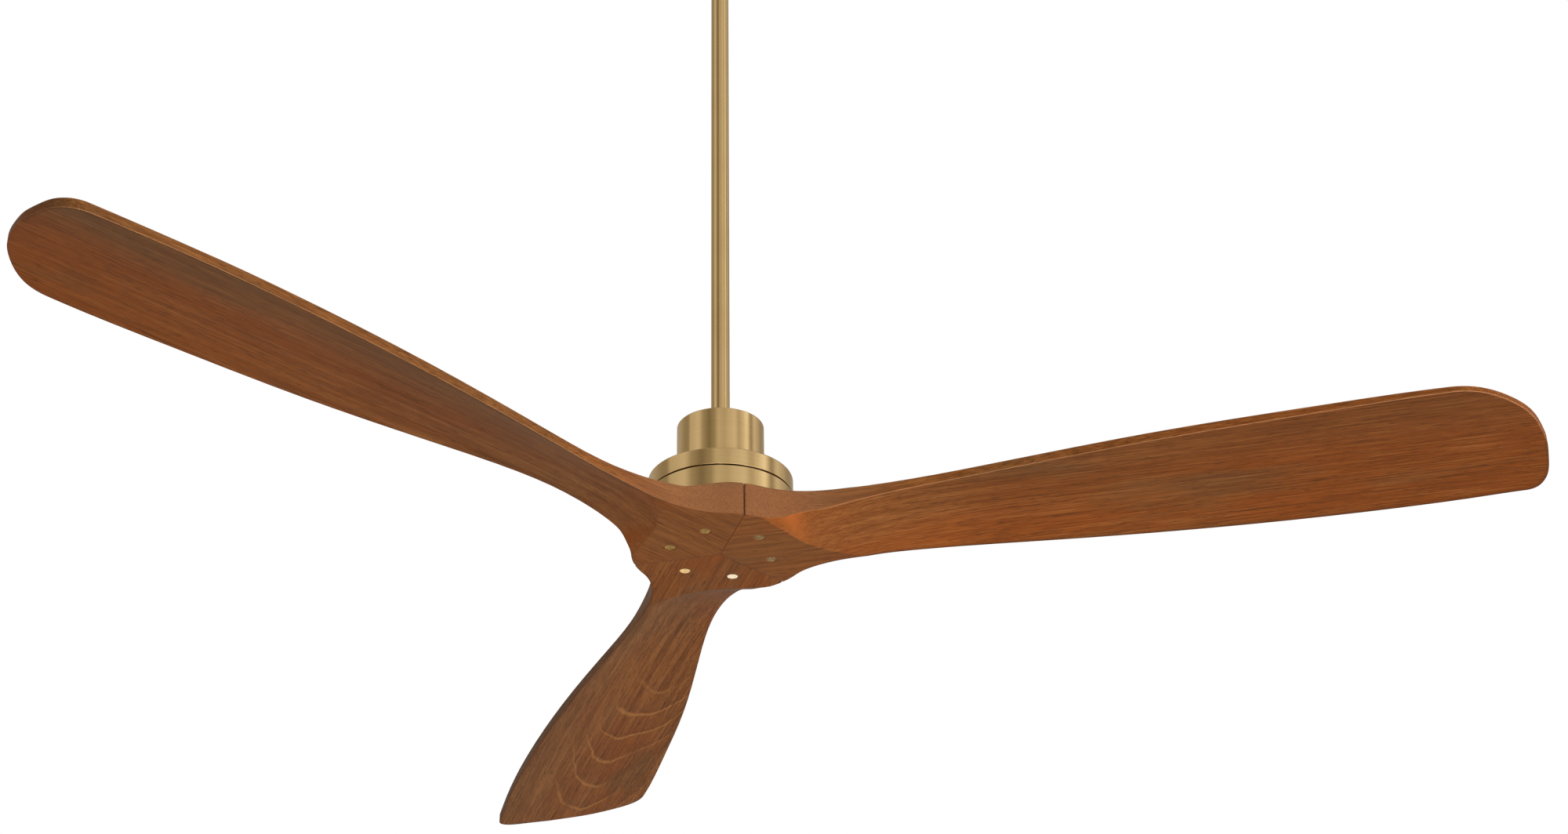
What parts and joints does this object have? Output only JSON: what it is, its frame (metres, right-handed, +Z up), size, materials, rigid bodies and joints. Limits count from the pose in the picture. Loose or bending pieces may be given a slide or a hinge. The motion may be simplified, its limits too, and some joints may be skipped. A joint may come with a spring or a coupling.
{
  "type": "ceiling fan",
  "caption": "Ceiling fan with carved solid-wood propeller blades that meet at a flat hub, under a round brass motor housing on a long brass downrod.",
  "frame": {"origin": "middle of the ceiling plane, between the two ceiling box screw holes of the hanger bracket", "axes": "+Z up along the downrod and the spin axis; +X along the hanger bracket's plate and the tilt axis; the fan hangs to -Z"},
  "size_m": [1.53, 1.5373, 0.91],
  "materials": {
    "walnut": "stained, satin oil",
    "satin_brass": "brushed satin",
    "brass_screws": "polished",
    "pad_rubber": "matt",
    "cast_alloy": "die cast",
    "magnet": "sintered, coated",
    "lamination": "stacked sheets",
    "copper_wire": "enamelled copper",
    "white_nylon": "moulded",
    "black_plastic": "moulded",
    "circuit_board": "solder resist",
    "lead_insulation": "flexible",
    "zinc_steel": "zinc plated",
    "bright_steel": "ground"
  },
  "bodies": {
    "ceiling_mount": {"hanger_bracket": "zinc_steel", "canopy": "satin_brass", "canopy_screws": "brass_screws", "receiver_box": "white_nylon", "supply_leads": "lead_insulation"},
    "hanging_frame": {"hanger_ball": "black_plastic", "hanger_ball_pin": "bright_steel", "ball_set_screw": "bright_steel", "downrod": "satin_brass", "motor_coupler": "zinc_steel", "coupler_pin": "bright_steel", "coupler_clip": "bright_steel", "set_screws": "bright_steel", "flange_screws": "bright_steel", "coupling_cover": "satin_brass", "upper_housing": "satin_brass", "motor_shaft": "bright_steel", "shaft_circlip": "bright_steel", "bearing_spacer": "bright_steel", "shaft_flange": "bright_steel", "stator_hub": "cast_alloy", "stator_core": "lamination", "stator_insulators": "white_nylon", "stator_windings": "copper_wire", "upper_bearing_inner": "bright_steel", "lower_bearing_inner": "bright_steel", "driver_board": "circuit_board", "board_posts": "bright_steel", "driver_parts": "black_plastic", "motor_leads": "lead_insulation"},
    "rotor": {"blade_right": "walnut", "blade_far": "walnut", "blade_left": "walnut", "blade_screws": "bright_steel", "screw_caps": "brass_screws", "hub_pad": "pad_rubber", "lower_housing": "satin_brass", "rotor_shell": "cast_alloy", "rotor_cover": "cast_alloy", "rotor_cover_screws": "bright_steel", "rotor_magnets": "magnet", "upper_bearing_outer": "bright_steel", "lower_bearing_outer": "bright_steel"},
    "upper_ball_set": {"upper_bearing_balls": "bright_steel", "upper_bearing_cage": "black_plastic"},
    "lower_ball_set": {"lower_bearing_balls": "bright_steel", "lower_bearing_cage": "black_plastic"}
  },
  "joints": [
    {"name": "hanger_tilt", "type": "hinge", "parent": "ceiling_mount", "child": "hanging_frame", "pos_m": [0, 0, -0.044], "axis": [1, 0, 0], "range_deg": [-20, 20]},
    {"name": "rotor_spin", "type": "hinge", "parent": "hanging_frame", "child": "rotor", "pos_m": [0, 0, -0.91], "axis": [0, 0, 1], "continuous": true},
    {"name": "upper_balls_spin", "type": "hinge", "parent": "hanging_frame", "child": "upper_ball_set", "pos_m": [0, 0, -0.834], "axis": [0, 0, 1], "continuous": true},
    {"name": "lower_balls_spin", "type": "hinge", "parent": "hanging_frame", "child": "lower_ball_set", "pos_m": [0, 0, -0.876], "axis": [0, 0, 1], "continuous": true}
  ],
  "couplings": [
    {"joint": "upper_balls_spin", "follows": "rotor_spin", "ratio": 0.618},
    {"joint": "lower_balls_spin", "follows": "rotor_spin", "ratio": 0.618}
  ]
}
